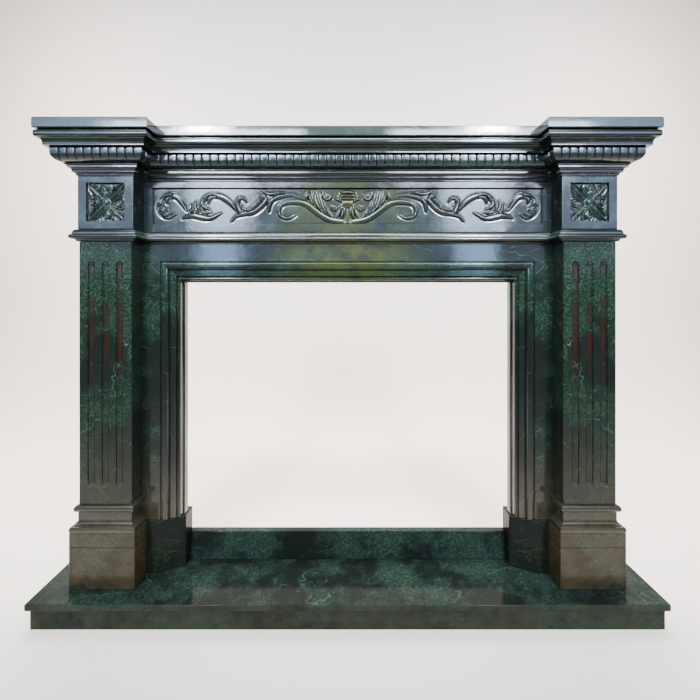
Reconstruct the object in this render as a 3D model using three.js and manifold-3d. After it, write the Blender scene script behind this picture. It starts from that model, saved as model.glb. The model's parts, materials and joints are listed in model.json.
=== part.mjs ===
// A polished green marble fireplace surround on a raised hearth. Two fluted pilasters with
// rosette blocks carry a breakfront entablature: a carved frieze, a bed mould, a reeded ovolo
// and a thick shelf. A moulded architrave frames the fire opening.
// Millimetres. X runs along the wall, Y towards the wall, Z up from the floor.

import * as THREE from "three";
import { mergeVertices } from "three/addons/utils/BufferGeometryUtils.js";
import Module from "manifold-3d";

const wasm = await Module();
wasm.setup();

// Joints between the stones
const mortarJoint = 0.4;

// Hearth, with what shows of it beside and before the plinths
const hearthSideMargin = 88;
const hearthFrontMargin = 60;
const hearthSlabThickness = 20;
const hearthBaseHeight = 60;
const hearthBaseInset = 10;
const edgeEase = 2.5;

// Upstand across the back of the opening
const riserHeight = 96;
const riserThickness = 25;

// Depths from the wall
const panelFace = 90;
const panelThickness = 35;
const pilasterProjection = 61;

// Pilasters and entablature, from the hearth up
const plinthHeight = 168;
const plinthOverhang = 19;
const baseMouldingHeight = 80;
const baseMouldingProjection = 16.5;
const shaftWidth = 160;
const neckHeight = 37;
const neckProjection = 17.5;
const blockWidth = 170;
const blockHeight = 163;
const bedHeight = 33;
const bedProjection = 22;
const reedHeight = 38;
const reedProjection = 50;
const underShelfHeight = 44;
const underShelfProjection = 75;
const shelfThickness = 31;
const shelfOverhang = 80;

// Flutes in the shafts
const fluteCount = 3;
const fluteWidth = 22;
const fluteDepth = 9;
const flutePitch = 43;
const fluteTopMargin = 60;
const fluteFootMargin = 52;

// Fire opening and its architrave
const openingWidth = 1067;
const openingHeight = 929;
const architraveWidth = 66;
const architraveThickness = 60;
const architraveFall = 36;
const innerBaseMargin = 4;

// Panels left between the architrave, the pilasters and the frieze
const legPanelWidth = 59.5;
const lintelHeight = 55;

// Frieze: a sunk panel with scrolls
const friezeEndMargin = 26;
const friezeTopMargin = 19.5;
const friezeFootMargin = 27.5;
const scrollEndClearance = 20;
const friezePanelDepth = 10;
const scrollRise = 8.5;
const leafletRise = 6.5;
const carvingSink = 2;

// Rosettes in the pilaster blocks
const rosetteMargin = 26;
const rosetteDepth = 9;
const rosetteLift = 2;
const rosetteRise = 8;

// Reeds: tongues on the ovolo, parted by narrow grooves
const reedPitch = 25.5;
const reedGrooveWidth = 5;
const reedGrooveDepth = 4;
const reedFadeHeight = 11;

// Places worked out from the sizes above
const pilasterFace = panelFace + pilasterProjection;
const shelfFront = pilasterFace + shelfOverhang;
const wallY = shelfFront / 2;
const panelBack = panelFace - panelThickness;
const openingHalf = openingWidth / 2;
const architraveOuter = openingHalf + architraveWidth;
const shaftInner = architraveOuter + legPanelWidth;
const plinthInner = shaftInner - plinthOverhang;
const pilasterCentre = shaftInner + shaftWidth / 2;
const blockInner = pilasterCentre - blockWidth / 2;
const hearthHalf = pilasterCentre + shaftWidth / 2 + plinthOverhang + hearthSideMargin;
const hearthDepth = pilasterFace + plinthOverhang + hearthFrontMargin;
const hearthTop = hearthBaseHeight + hearthSlabThickness;
const shaftFoot = plinthHeight + baseMouldingHeight;
const architraveTop = openingHeight + architraveWidth;
const neckFoot = architraveTop + lintelHeight;
const shaftHeight = neckFoot - shaftFoot;
const blockFoot = neckFoot + neckHeight;
const bedFoot = blockFoot + blockHeight;
const reedFoot = bedFoot + bedHeight;
const underShelfFoot = reedFoot + reedHeight;
const shelfFoot = underShelfFoot + underShelfHeight;
const friezePanelHalf = blockInner - friezeEndMargin;
const friezePanelHeight = blockHeight - friezeTopMargin - friezeFootMargin;
const rosetteSquare = blockWidth - 2 * rosetteMargin;

// Mouldings are listed from the foot up, as a mason names them. Each member has its height and
// the projection that it ends at, as drawn; a moulding's own height and projection scale them.
const curveSteps = 3;
const smallCurveSteps = 2;

const baseMembers = [
  { kind: "bead", height: 18, out: 16.5, bulge: 2.5 },
  { kind: "fillet", height: 3, out: 9 },
  { kind: "cove", height: 15, out: 1.5 },
  { kind: "fillet", height: 22, out: 1.5 },
  { kind: "bead", height: 22, out: 1.5, bulge: 9 },
];

const neckMembers = [
  { kind: "fillet", height: 2, out: 3 },
  { kind: "cove", height: 6, out: 14 },
  { kind: "fillet", height: 12, out: 17.5 },
  { kind: "ovolo", height: 17, out: 1 },
];

const bedMembers = [
  { kind: "fillet", height: 3, out: 3 },
  { kind: "cove", height: 6, out: 10 },
  { kind: "fillet", height: 5, out: 11 },
  { kind: "cove", height: 7, out: 19 },
  { kind: "fillet", height: 6, out: 20 },
  { kind: "bead", height: 6, out: 22, bulge: 3 },
];

const reedMembers = [
  { kind: "start", out: 28 },
  { kind: "ovolo", height: 22, out: 50 },
  { kind: "fillet", height: 16, out: 50 },
];

const underShelfMembers = [
  { kind: "fillet", height: 2, out: 62 },
  { kind: "cove", height: 19, out: 70 },
  { kind: "bead", height: 18, out: 75, bulge: 3 },
  { kind: "fillet", height: 5, out: 70 },
];

// The architrave runs from its outer edge to the opening; its projections are from the panels.
const architraveMembers = [
  { kind: "fillet", height: 3, out: -4 },
  { kind: "ovolo", height: 6, out: 1 },
  { kind: "fillet", height: 13, out: 1 },
  { kind: "ovolo", height: 4, out: -11 },
  { kind: "fillet", height: 20, out: -12 },
  { kind: "cove", height: 4, out: -20 },
  { kind: "bead", height: 8, out: -20, bulge: 3 },
  { kind: "cove", height: 8, out: -36 },
];

// A moulding's outline: points with the projection and the height above its foot
function traceProfile(drawnMembers, fullHeight, fullProjection, steps) {
  const drawnHeight = drawnMembers.reduce((sum, member) => sum + (member.height ?? 0), 0);
  const drawnOut = Math.max(...drawnMembers.map((member) => Math.abs(member.out)));
  const members = drawnMembers.map((member) => ({
    kind: member.kind,
    height: ((member.height ?? 0) * fullHeight) / drawnHeight,
    out: (member.out * fullProjection) / drawnOut,
    bulge: ((member.bulge ?? 0) * fullProjection) / drawnOut,
  }));
  const points = [];
  let out = members[0].out;
  let height = 0;
  const put = (o, h) => {
    const last = points.at(-1);
    if (!last || Math.hypot(last.out - o, last.height - h) > mortarJoint / 10) {
      points.push({ out: o, height: h });
    }
  };
  for (const member of members) {
    const rise = member.height;
    if (member.kind === "start" || member.kind === "fillet") {
      put(member.out, height);
      put(member.out, height + rise);
    } else if (member.kind === "bead") {
      for (let i = 0; i <= 2 * steps; i += 1) {
        const turn = (Math.PI * i) / (2 * steps);
        const bulge = member.bulge * Math.sin(turn);
        put(member.out + bulge, height + (rise * (1 - Math.cos(turn))) / 2);
      }
    } else {
      const swellsFirst = (member.kind === "ovolo") === member.out > out;
      for (let i = 0; i <= steps; i += 1) {
        const turn = (Math.PI / 2) * (i / steps);
        const early = Math.sin(turn);
        const late = 1 - Math.cos(turn);
        const outShare = swellsFirst ? early : late;
        const riseShare = swellsFirst ? late : early;
        put(out + (member.out - out) * outShare, height + rise * riseShare);
      }
    }
    out = member.out;
    height += rise;
  }
  return points;
}

// Solids

// A closed body from its corners and triangles, turned so that its faces point out
function closedGeometry(corners, triangles) {
  let volume = 0;
  for (const [a, b, c] of triangles) {
    volume += corners[a].dot(corners[b].clone().cross(corners[c]));
  }
  const facing = volume < 0 ? triangles.map(([a, b, c]) => [c, b, a]) : triangles;
  const geometry = new THREE.BufferGeometry().setFromPoints(corners);
  geometry.setIndex(facing.flat());
  geometry.computeVertexNormals();
  return geometry;
}

// Rings of equal count are joined in turn; the outline is the rings' own plan, for the two ends
function loft(rings, outline) {
  const order = [...outline.keys()];
  if (THREE.ShapeUtils.isClockWise(outline)) {
    order.reverse();
  }
  const ends = THREE.ShapeUtils.triangulateShape(order.map((i) => outline[i]), []);
  const count = outline.length;
  const last = (rings.length - 1) * count;
  const corners = rings.flatMap((ring) => order.map((i) => ring[i]));
  const triangles = ends.flatMap(([a, b, c]) => [
    [c, b, a],
    [last + a, last + b, last + c],
  ]);
  for (let from = 0; from < last; from += count) {
    for (let i = 0; i < count; i += 1) {
      const a = from + i;
      const b = from + ((i + 1) % count);
      triangles.push([a, b, b + count], [a, b + count, a + count]);
    }
  }
  return closedGeometry(corners, triangles);
}

// A stack of plans, one for each level of a profile, with depth measured from the wall
function stack(profile, planAt) {
  const plans = profile.map((level) => planAt(level.out, level.height));
  const rings = plans.map((plan, i) =>
    plan.map(([x, depth]) => new THREE.Vector3(x, -depth, profile[i].height)),
  );
  return loft(rings, plans[0].map(([x, depth]) => new THREE.Vector2(x, -depth)));
}

function stoneBlock(xLow, xHigh, depthLow, depthHigh, height) {
  const geometry = new THREE.BoxGeometry(xHigh - xLow, depthHigh - depthLow, height);
  return geometry.translate((xLow + xHigh) / 2, -(depthLow + depthHigh) / 2, height / 2);
}

function toSolid(geometry) {
  const bare = new THREE.BufferGeometry();
  bare.setAttribute("position", geometry.getAttribute("position"));
  bare.setIndex(geometry.getIndex());
  const merged = mergeVertices(bare);
  return new wasm.Manifold(
    new wasm.Mesh({
      numProp: 3,
      vertProperties: merged.getAttribute("position").array,
      triVerts: new Uint32Array(merged.getIndex().array),
    }),
  );
}

function toGeometry(solid) {
  const mesh = solid.getMesh();
  const geometry = new THREE.BufferGeometry();
  geometry.setAttribute("position", new THREE.BufferAttribute(mesh.vertProperties, mesh.numProp));
  geometry.setIndex(new THREE.BufferAttribute(mesh.triVerts, 1));
  geometry.computeVertexNormals();
  return geometry;
}

// Plans of the breakfront

// Round one pilaster: its outer side, its front and the short return to the centre stretch
function pilasterPlan(side, halfWidth, returnDepth) {
  return (out) => [
    [side * (halfWidth + out), 0],
    [side * (halfWidth + out), pilasterFace + out],
    [-side * (halfWidth + out), pilasterFace + out],
    [-side * (halfWidth + out), panelFace + returnDepth(out)],
    [-side * halfWidth, panelFace + returnDepth(0)],
    [-side * halfWidth, 0],
  ];
}

const mitredReturn = (out) => out;
const plainReturn = () => mortarJoint;

// The centre stretch between the pilasters, mitred into both returns
function centrePlan(out) {
  const end = blockInner - mortarJoint;
  return [
    [-(end - out), panelFace + out],
    [end - out, panelFace + out],
    [end, panelFace],
    [end, panelBack],
    [-end, panelBack],
    [-end, panelFace],
  ];
}

// The whole breakfront in one piece, as the shelf is
function breakfrontPlan(out) {
  const outer = pilasterCentre + blockWidth / 2 + out;
  const inner = blockInner - out;
  return [
    [-outer, 0],
    [-outer, pilasterFace + out],
    [-inner, pilasterFace + out],
    [-inner, panelFace + out],
    [inner, panelFace + out],
    [inner, pilasterFace + out],
    [outer, pilasterFace + out],
    [outer, 0],
  ];
}

// Reeded ovolo

// Groove places that part a run into equal tongues
function grooveCentres(from, to) {
  const tongues = Math.max(1, Math.round(Math.abs(to - from) / reedPitch));
  const step = (to - from) / tongues;
  return Array.from({ length: tongues - 1 }, (_, i) => from + step * (i + 1));
}

// Every second groove runs on down the curve; the ones between fade out under the tongues
function grooveDepthAt(height, index) {
  const share = Math.min(1, height / reedFadeHeight);
  return reedGrooveDepth * (index % 2 === 0 ? (1 + share) / 2 : share * share);
}

// Three points for each groove: lip, bottom and lip, along a run of a plan
function groovePoints(centres, travel, height, place) {
  return centres.flatMap((centre, i) => {
    const lip = (travel * reedGrooveWidth) / 2;
    return [
      place(centre - lip, 0),
      place(centre, grooveDepthAt(height, i)),
      place(centre + lip, 0),
    ];
  });
}

function reededPilasterPlan(side) {
  const half = blockWidth / 2;
  const face = pilasterFace + reedProjection;
  const sideGrooves = grooveCentres(0, face);
  const frontGrooves = grooveCentres(half + reedProjection, -half - reedProjection);
  const returnGrooves = grooveCentres(face, panelFace + reedProjection);
  const plan = pilasterPlan(side, half, mitredReturn);
  return (out, height) => {
    const [wallEnd, corner, innerCorner, ...rest] = plan(out);
    return [
      wallEnd,
      ...groovePoints(sideGrooves, 1, height, (d, cut) => [side * (half + out - cut), d]),
      corner,
      ...groovePoints(frontGrooves, -1, height, (x, cut) => [side * x, pilasterFace + out - cut]),
      innerCorner,
      ...groovePoints(returnGrooves, -1, height, (d, cut) => [-side * (half + out - cut), d]),
      ...rest,
    ];
  };
}

function reededCentrePlan(out, height) {
  const reach = blockInner - reedProjection;
  const [left, ...rest] = centrePlan(out);
  return [
    left,
    ...groovePoints(grooveCentres(-reach, reach), 1, height, (x, cut) => [x, panelFace + out - cut]),
    ...rest,
  ];
}

// Fluted shaft

// A round-ended rod that cuts one flute
function fluteCutter(length) {
  const radius = (fluteWidth ** 2 / 4 + fluteDepth ** 2) / (2 * fluteDepth);
  const sides = 12;
  const endSteps = 3;
  const tipFlat = 0.25;
  const levels = [];
  for (let i = 0; i <= endSteps; i += 1) {
    const turn = (Math.PI / 2) * ((i + tipFlat) / (endSteps + tipFlat));
    levels.push({ radius: radius * Math.sin(turn), height: radius * (1 - Math.cos(turn)) });
  }
  const mirrored = levels.map((level) => ({ ...level, height: length - level.height }));
  const rings = [...levels, ...mirrored.reverse()].map((level) =>
    Array.from({ length: sides }, (_, i) => {
      const turn = (2 * Math.PI * (i + 0.5)) / sides;
      return new THREE.Vector3(
        level.radius * Math.cos(turn),
        level.radius * Math.sin(turn),
        level.height,
      );
    }),
  );
  const outline = rings[0].map((corner) => new THREE.Vector2(corner.x, corner.y));
  return loft(rings, outline).translate(0, -(pilasterFace + radius - fluteDepth), 0);
}

function flutedShaft() {
  const half = shaftWidth / 2;
  const body = stoneBlock(-half, half, 0, pilasterFace, shaftHeight - mortarJoint);
  const cutter = fluteCutter(shaftHeight - fluteTopMargin - fluteFootMargin);
  let solid = toSolid(body);
  for (let i = 0; i < fluteCount; i += 1) {
    const x = (i - (fluteCount - 1) / 2) * flutePitch;
    solid = solid.subtract(toSolid(cutter.clone().translate(x, 0, fluteFootMargin)));
  }
  return toGeometry(solid);
}

// Carving

// The cross-sections of a carved strip: shares of its half width and of its rise
const rounded = [[-1, 0], [-0.5, 1], [0.5, 1], [1, 0]];
const ridged = [[-1, 0], [0, 1], [1, 0]];
const veined = [[-1, 0], [-0.6, 1], [0, 0.35], [0.6, 1], [1, 0]];
const endRiseShare = 0.55;

// A strip that follows a curve over a flat ground and is sunk into it. It is widest at its
// belly, a share of its length, and narrows towards both ends.
function carvedStrip(points, { from, full, to, rise, section, stations, belly = 0.5 }) {
  const curve = new THREE.SplineCurve(points.map(([x, z]) => new THREE.Vector2(x, z)));
  const skew = Math.log(0.5) / Math.log(belly);
  const rings = [];
  for (let i = 0; i <= stations; i += 1) {
    const share = i / stations;
    const swell = Math.sin(Math.PI * share ** skew);
    const width = from + (to - from) * share + (full - (from + to) / 2) * swell;
    const height = rise * (endRiseShare + (1 - endRiseShare) * swell);
    const centre = curve.getPointAt(share);
    const along = curve.getTangentAt(share);
    rings.push(
      section.map(([across, up]) => {
        const offset = (across * width) / 2;
        const lift = up > 0 ? up * height : -carvingSink;
        return new THREE.Vector3(centre.x - along.y * offset, -lift, centre.y + along.x * offset);
      }),
    );
  }
  return loft(rings, section.map(([across, up]) => new THREE.Vector2(across, up)));
}

// A turned button that stands out of the ground, from [share of radius, share of rise] pairs
function turnedButton(shares, radius, rise) {
  const outline = shares.map(([r, h]) => new THREE.Vector2(r * radius, h * rise));
  const foot = new THREE.Vector2(radius, -carvingSink);
  const low = new THREE.Vector2(0, -carvingSink);
  const geometry = new THREE.LatheGeometry([low, foot, ...outline], buttonSides);
  return geometry.rotateX(Math.PI);
}

const roundelShares = [[1, 0.6], [0.8, 0.9], [0.5, 0.4], [0, 0.9]];
const bossShares = [[1, 0.5], [0.7, 0.95], [0, 1.2]];
const curlShares = [[0.9, 0.9], [0.45, 0.9], [0, 0.2]];
const buttonSides = 8;

// The frieze's left half, in millimetres from the middle of a panel drawn this high
const drawnPanelHeight = 116;
const stem = { from: 4, full: 19, to: 7, belly: 0.36, rise: scrollRise, section: rounded, stations: 8 };
const leaf = { from: 4, full: 18, to: 6, rise: scrollRise, section: rounded, stations: 6 };
const lobe = { from: 4, full: 11, to: 3, rise: leafletRise, section: ridged, stations: 3 };

const outerScroll = [
  [-516, -16], [-527, 2], [-542, 22], [-556, 32], [-573, 34], [-590, 27], [-602, 13], [-608, -4],
  [-602, -22], [-589, -34], [-571, -36], [-556, -26],
];
const innerScroll = [
  [-356, -15], [-374, 7], [-396, 25], [-420, 34], [-440, 35], [-458, 27], [-470, 11], [-473, -6],
  [-466, -22], [-450, -34],
];
const runningLeaf = [
  [-532, -40], [-518, -33], [-497, -30], [-475, -35], [-454, -39], [-439, -38], [-423, -30], [-408, -23],
];
const greatStem = [
  [-373, -49], [-363, -36], [-347, -28], [-326, -22], [-305, -18], [-285, -6], [-270, 9], [-262, 21],
  [-269, 36], [-276, 47],
];
const volute = [[-349, -16], [-354, 0], [-355, 14], [-349, 24], [-338, 26], [-329, 21], [-324, 13]];
const overLeaf = [
  [-253, -18], [-253, -4], [-249, 11], [-238, 23], [-221, 30], [-193, 35], [-165, 33], [-139, 21],
];
const hook = [
  [-168, -29], [-180, -36], [-197, -39], [-214, -32], [-221, -18], [-217, -2], [-202, 10], [-180, 14],
  [-157, 14], [-131, 6], [-110, -10], [-86, -28], [-60, -42], [-28, -49], [4, -50],
];

const frieze = [
  // the outermost scroll and the lobes inside it
  { points: outerScroll, ...stem },
  { points: [[-571, 31], [-583, 21], [-580, 7]], ...lobe },
  { points: [[-593, 27], [-600, 13], [-587, -2]], ...lobe },
  { points: [[-608, -1], [-598, -12], [-579, -12]], ...lobe },
  { points: [[-604, -21], [-591, -28], [-567, -23]], ...lobe },
  // the leaf that runs under the two scrolls, with its two leaflets
  { points: runningLeaf, ...leaf, belly: 0.4 },
  { points: [[-503, 9], [-506, -8], [-494, -25]], ...lobe },
  { points: [[-488, 17], [-490, -2], [-480, -25]], ...lobe },
  // the second scroll and its lobes
  { points: innerScroll, ...stem },
  { points: [[-427, 31], [-444, 25], [-449, 7]], ...lobe },
  { points: [[-466, 22], [-466, 2], [-444, -11]], ...lobe },
  { points: [[-471, -4], [-462, -19], [-440, -21]], ...lobe },
  // the great stem, its volute and its feathered end
  { points: greatStem, ...leaf, stations: 7 },
  { points: volute, ...lobe, from: 14, full: 14, to: 4, rise: scrollRise, stations: 5 },
  { points: [[-341, 5], [-339, -5], [-329, -12], [-316, -12]], ...lobe },
  { points: [[-299, -12], [-285, 2], [-277, 16], [-273, 30], [-279, 43]], ...lobe, stations: 4 },
  { points: [[-311, -13], [-297, -2], [-285, 12], [-281, 26], [-285, 38]], ...lobe, stations: 4 },
  { points: [[-323, -14], [-309, -8], [-297, 2], [-291, 13]], ...lobe },
  // the leaf that springs over the hook and the sliver above it
  { points: overLeaf, ...leaf, full: 15, to: 4, belly: 0.3 },
  { points: [[-271, 46], [-251, 40], [-227, 41], [-202, 43]], ...lobe },
  // the hook, from its curl round to the middle of the panel
  { points: hook, ...stem, from: 5, full: 17, to: 14, belly: 0.5, stations: 10 },
  // fronds of the central palm and the leaves round its roundels
  { points: [[-127, 48], [-131, 31], [-132, 16]], ...lobe, full: 9 },
  { points: [[-121, 47], [-120, 28], [-112, 10], [-100, -5]], ...lobe, full: 10 },
  { points: [[-104, 48], [-104, 28], [-98, 7], [-85, -15]], ...lobe, full: 14 },
  { points: [[-85, 45], [-86, 26], [-80, 3], [-71, -17], [-59, -36]], ...lobe, full: 10, stations: 4 },
  { points: [[-68, -3], [-61, -20], [-50, -39]], ...lobe, full: 7 },
  { points: [[-42, 24], [-30, 22], [-20, 16], [-11, 9]], ...lobe, full: 8 },
  { points: [[-24, 0], [-25, -17], [-35, -41]], ...lobe, full: 8 },
  { points: [[-16, -3], [-16, -21], [-25, -50]], ...lobe, full: 8 },
];
const roundels = [{ at: [-65, 33], radius: 15 }, { at: [-43, -2], radius: 13 }];

// On the middle line: the tongue, the cup above it and the ribs of the knob
const palmTongue = { ...leaf, from: 17, to: 30, belly: 0.4, stations: 3 };
const palmCup = { ...leaf, from: 18, full: 32, to: 35, stations: 2 };
const palmRib = { ...leaf, from: 5, full: 9, to: 5, stations: 3 };
const middleLine = [
  { points: [[0, 2], [0, -24], [0, -51]], ...palmTongue },
  { points: [[0, 6], [0, 13], [0, 20]], ...palmCup },
  { points: [[-17, 25], [0, 26], [17, 25]], ...palmRib },
  { points: [[-25, 34], [0, 35], [25, 34]], ...palmRib },
  { points: [[-22, 44], [0, 45], [22, 44]], ...palmRib },
];

function friezeCarving() {
  const drawnReach = Math.max(...frieze.flatMap(({ points }) => points.map(([x]) => -x)));
  const sideScale = (friezePanelHalf - scrollEndClearance) / drawnReach;
  const riseScale = friezePanelHeight / drawnPanelHeight;
  const pieces = [];
  for (const side of [1, -1]) {
    for (const { points, ...form } of frieze) {
      pieces.push(carvedStrip(points.map(([x, z]) => [side * x, z]), form));
    }
    for (const { at: [x, z], radius } of roundels) {
      pieces.push(turnedButton(roundelShares, radius, scrollRise).translate(side * x, 0, z));
    }
  }
  for (const { points, ...form } of middleLine) {
    pieces.push(carvedStrip(points, form));
  }
  return pieces.map((piece) => toSolid(piece.scale(sideScale, 1, riseScale)));
}

function friezeSlab() {
  const half = blockInner - mortarJoint;
  const height = blockHeight - mortarJoint;
  const slab = toSolid(stoneBlock(-half, half, panelBack, panelFace, height));
  const sunk = stoneBlock(
    -friezePanelHalf,
    friezePanelHalf,
    panelFace - friezePanelDepth,
    panelFace + friezePanelDepth,
    friezePanelHeight,
  ).translate(0, 0, friezeFootMargin);
  const ground = -(panelFace - friezePanelDepth);
  const middle = friezeFootMargin + friezePanelHeight / 2;
  const carving = wasm.Manifold.union(friezeCarving()).translate([0, ground, middle]);
  return toGeometry(slab.subtract(toSolid(sunk)).add(carving));
}

// The rosette's leaves in one quarter, drawn in a square of this size: each runs out from the
// middle, turned from the quarter's own axis
const drawnRosette = 118;
const rosetteLeaves = [
  { turn: 45, start: 5, end: 79, from: 8, full: 28, to: 3, rise: 8, section: veined, stations: 3 },
  { turn: 0, start: 5, end: 41, from: 7, full: 20, to: 8, rise: 6.5, section: veined, stations: 2 },
  { turn: -21, start: 5, end: 57, from: 7, full: 12, to: 4, rise: 6.5, section: ridged, stations: 2 },
  { turn: 21, start: 5, end: 57, from: 7, full: 12, to: 4, rise: 6.5, section: ridged, stations: 2 },
];
const rosetteCurl = { distance: 46, radius: 12 };
const rosetteBoss = { radius: 11 };

function rosetteCarving() {
  const scale = rosetteSquare / drawnRosette;
  const spoke = (angle, radius) => [radius * Math.cos(angle), radius * Math.sin(angle)];
  const pieces = [turnedButton(bossShares, rosetteBoss.radius, rosetteRise)];
  for (let quarter = 0; quarter < 4; quarter += 1) {
    const axis = (Math.PI / 2) * quarter;
    for (const { turn, start, end, rise, ...form } of rosetteLeaves) {
      const angle = axis + THREE.MathUtils.degToRad(turn);
      const height = (rise * rosetteRise) / rosetteLeaves[0].rise;
      pieces.push(carvedStrip([spoke(angle, start), spoke(angle, end)], { ...form, rise: height }));
    }
    const [x, z] = spoke(axis, rosetteCurl.distance);
    pieces.push(turnedButton(curlShares, rosetteCurl.radius, rosetteRise).translate(x, 0, z));
  }
  return pieces.map((piece) => toSolid(piece.scale(scale, 1, scale)));
}

function rosetteBlock() {
  const half = blockWidth / 2;
  const middle = blockHeight / 2 + rosetteLift;
  const block = toSolid(stoneBlock(-half, half, 0, pilasterFace, blockHeight - mortarJoint));
  const sunk = stoneBlock(
    -rosetteSquare / 2,
    rosetteSquare / 2,
    pilasterFace - rosetteDepth,
    pilasterFace + rosetteDepth,
    rosetteSquare,
  ).translate(0, 0, middle - rosetteSquare / 2);
  const ground = -(pilasterFace - rosetteDepth);
  const carving = wasm.Manifold.union(rosetteCarving()).translate([0, ground, middle]);
  return toGeometry(block.subtract(toSolid(sunk)).add(carving));
}

// Architrave

// The section as [distance in from the outer edge, depth from the wall]
function architraveSection() {
  const profile = traceProfile(architraveMembers, architraveWidth, architraveFall, curveSteps);
  const front = profile.map((point) => [point.height, panelFace + point.out]);
  const back = panelFace - architraveThickness;
  return [...front, [architraveWidth, back], [0, back]];
}

function architraveLeg(side) {
  const section = architraveSection();
  const footRing = section.map(
    ([across, depth]) => new THREE.Vector3(side * (architraveOuter - across), -depth, 0),
  );
  const legHeight = architraveTop - plinthHeight - 2 * mortarJoint;
  const headRing = footRing.map((corner, i) => {
    const head = corner.clone();
    head.z = legHeight - section[i][0];
    return head;
  });
  return loft(
    [footRing, headRing],
    section.map(([across, depth]) => new THREE.Vector2(across, depth)),
  );
}

function architraveHead() {
  const section = architraveSection();
  const ringAt = (side) =>
    section.map(
      ([across, depth]) =>
        new THREE.Vector3(side * (architraveOuter - across), -depth, -across),
    );
  return loft(
    [ringAt(-1), ringAt(1)],
    section.map(([across, depth]) => new THREE.Vector2(across, depth)),
  );
}

// The block under each architrave leg, with a splay that follows the moulding's fall
function innerBase(side) {
  const jamb = openingHalf - innerBaseMargin;
  const front = panelFace + innerBaseMargin;
  const shape = new THREE.Shape([
    new THREE.Vector2(side * (plinthInner - mortarJoint), 0),
    new THREE.Vector2(side * (plinthInner - mortarJoint), -front),
    new THREE.Vector2(side * (architraveOuter + innerBaseMargin), -front),
    new THREE.Vector2(side * jamb, architraveFall - front),
    new THREE.Vector2(side * jamb, 0),
  ]);
  return new THREE.ExtrudeGeometry(shape, { depth: plinthHeight - mortarJoint, bevelEnabled: false });
}

// Slabs with eased edges

function easedEdges(thickness, out) {
  return [
    { out: out - edgeEase, height: 0 },
    { out, height: edgeEase },
    { out, height: thickness - edgeEase },
    { out: out - edgeEase, height: thickness },
  ];
}

function hearthSlab() {
  const plan = (out) => [
    [-hearthHalf - out, 0],
    [-hearthHalf - out, hearthDepth + out],
    [hearthHalf + out, hearthDepth + out],
    [hearthHalf + out, 0],
  ];
  return stack(easedEdges(hearthSlabThickness - mortarJoint, 0), plan);
}

// Marble finishes, as the stone reads on the flat faces, the carved ones and the worn blocks
const finishes = {
  marble: { color: 0x2b3f39, roughness: 0.18, metalness: 0 },
  carved: { color: 0x4a5a60, roughness: 0.2, metalness: 0 },
  plinth: { color: 0x4b463b, roughness: 0.25, metalness: 0 },
  hearth: { color: 0x35453b, roughness: 0.15, metalness: 0 },
};

function piece(name, geometry, finish, x, z) {
  const mesh = new THREE.Mesh(geometry, new THREE.MeshStandardMaterial(finishes[finish]));
  mesh.name = name;
  mesh.position.set(x, 0, z);
  return mesh;
}

const surround = new THREE.Group();
surround.position.set(0, wallY, hearthTop);

// Hearth and upstand
const baseHalf = hearthHalf - hearthBaseInset;
const baseDepth = hearthDepth - hearthBaseInset;
const hearthBase = stoneBlock(-baseHalf, baseHalf, 0, baseDepth, hearthBaseHeight - mortarJoint);
const riserHalf = openingHalf - innerBaseMargin - mortarJoint;
surround.add(
  piece("hearth_base", hearthBase, "hearth", 0, -hearthTop),
  piece("hearth_slab", hearthSlab(), "hearth", 0, -hearthSlabThickness),
  piece(
    "hearth_upstand",
    stoneBlock(-riserHalf, riserHalf, 0, riserThickness, riserHeight),
    "hearth",
    0,
    0,
  ),
);

// Outlines that run on from the pilasters to the centre stretch
const smallProfile = (members, height, projection) =>
  traceProfile(members, height - mortarJoint, projection, smallCurveSteps);
const neckProfile = smallProfile(neckMembers, neckHeight, neckProjection);
const bedProfile = smallProfile(bedMembers, bedHeight, bedProjection);
const reedProfile = smallProfile(reedMembers, reedHeight, reedProjection);

// Pilasters
for (const [label, side] of [["left", -1], ["right", 1]]) {
  const x = side * pilasterCentre;
  const shaftHalf = shaftWidth / 2;
  const blockHalf = blockWidth / 2;
  const plinthHalf = shaftHalf + plinthOverhang;
  const plinth = stoneBlock(
    -plinthHalf,
    plinthHalf,
    0,
    pilasterFace + plinthOverhang,
    plinthHeight - mortarJoint,
  );
  const baseMoulding = stack(
    traceProfile(
      baseMembers,
      baseMouldingHeight - mortarJoint,
      baseMouldingProjection,
      curveSteps,
    ),
    pilasterPlan(side, shaftHalf, plainReturn),
  );
  const neck = stack(neckProfile, pilasterPlan(side, blockHalf, mitredReturn));
  const bed = stack(bedProfile, pilasterPlan(side, blockHalf, mitredReturn));
  const reeds = stack(reedProfile, reededPilasterPlan(side));
  surround.add(
    piece(`plinth_block_${label}`, plinth, "plinth", x, 0),
    piece(`base_moulding_${label}`, baseMoulding, "marble", x, plinthHeight),
    piece(`fluted_shaft_${label}`, flutedShaft(), "marble", x, shaftFoot),
    piece(`neck_moulding_${label}`, neck, "marble", x, neckFoot),
    piece(`rosette_block_${label}`, rosetteBlock(), "carved", x, blockFoot),
    piece(`bed_moulding_${label}`, bed, "marble", x, bedFoot),
    piece(`reeded_moulding_${label}`, reeds, "carved", x, reedFoot),
    piece(`inner_base_${label}`, innerBase(side), "plinth", 0, 0),
    piece(`architrave_${label}`, architraveLeg(side), "marble", 0, plinthHeight),
  );
  const panelLow = architraveOuter + mortarJoint;
  const panelHigh = shaftInner - mortarJoint;
  const legPanel = stoneBlock(
    Math.min(side * panelLow, side * panelHigh),
    Math.max(side * panelLow, side * panelHigh),
    panelBack,
    panelFace,
    architraveTop - plinthHeight - mortarJoint,
  );
  surround.add(piece(`leg_panel_${label}`, legPanel, "marble", 0, plinthHeight));
}

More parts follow.
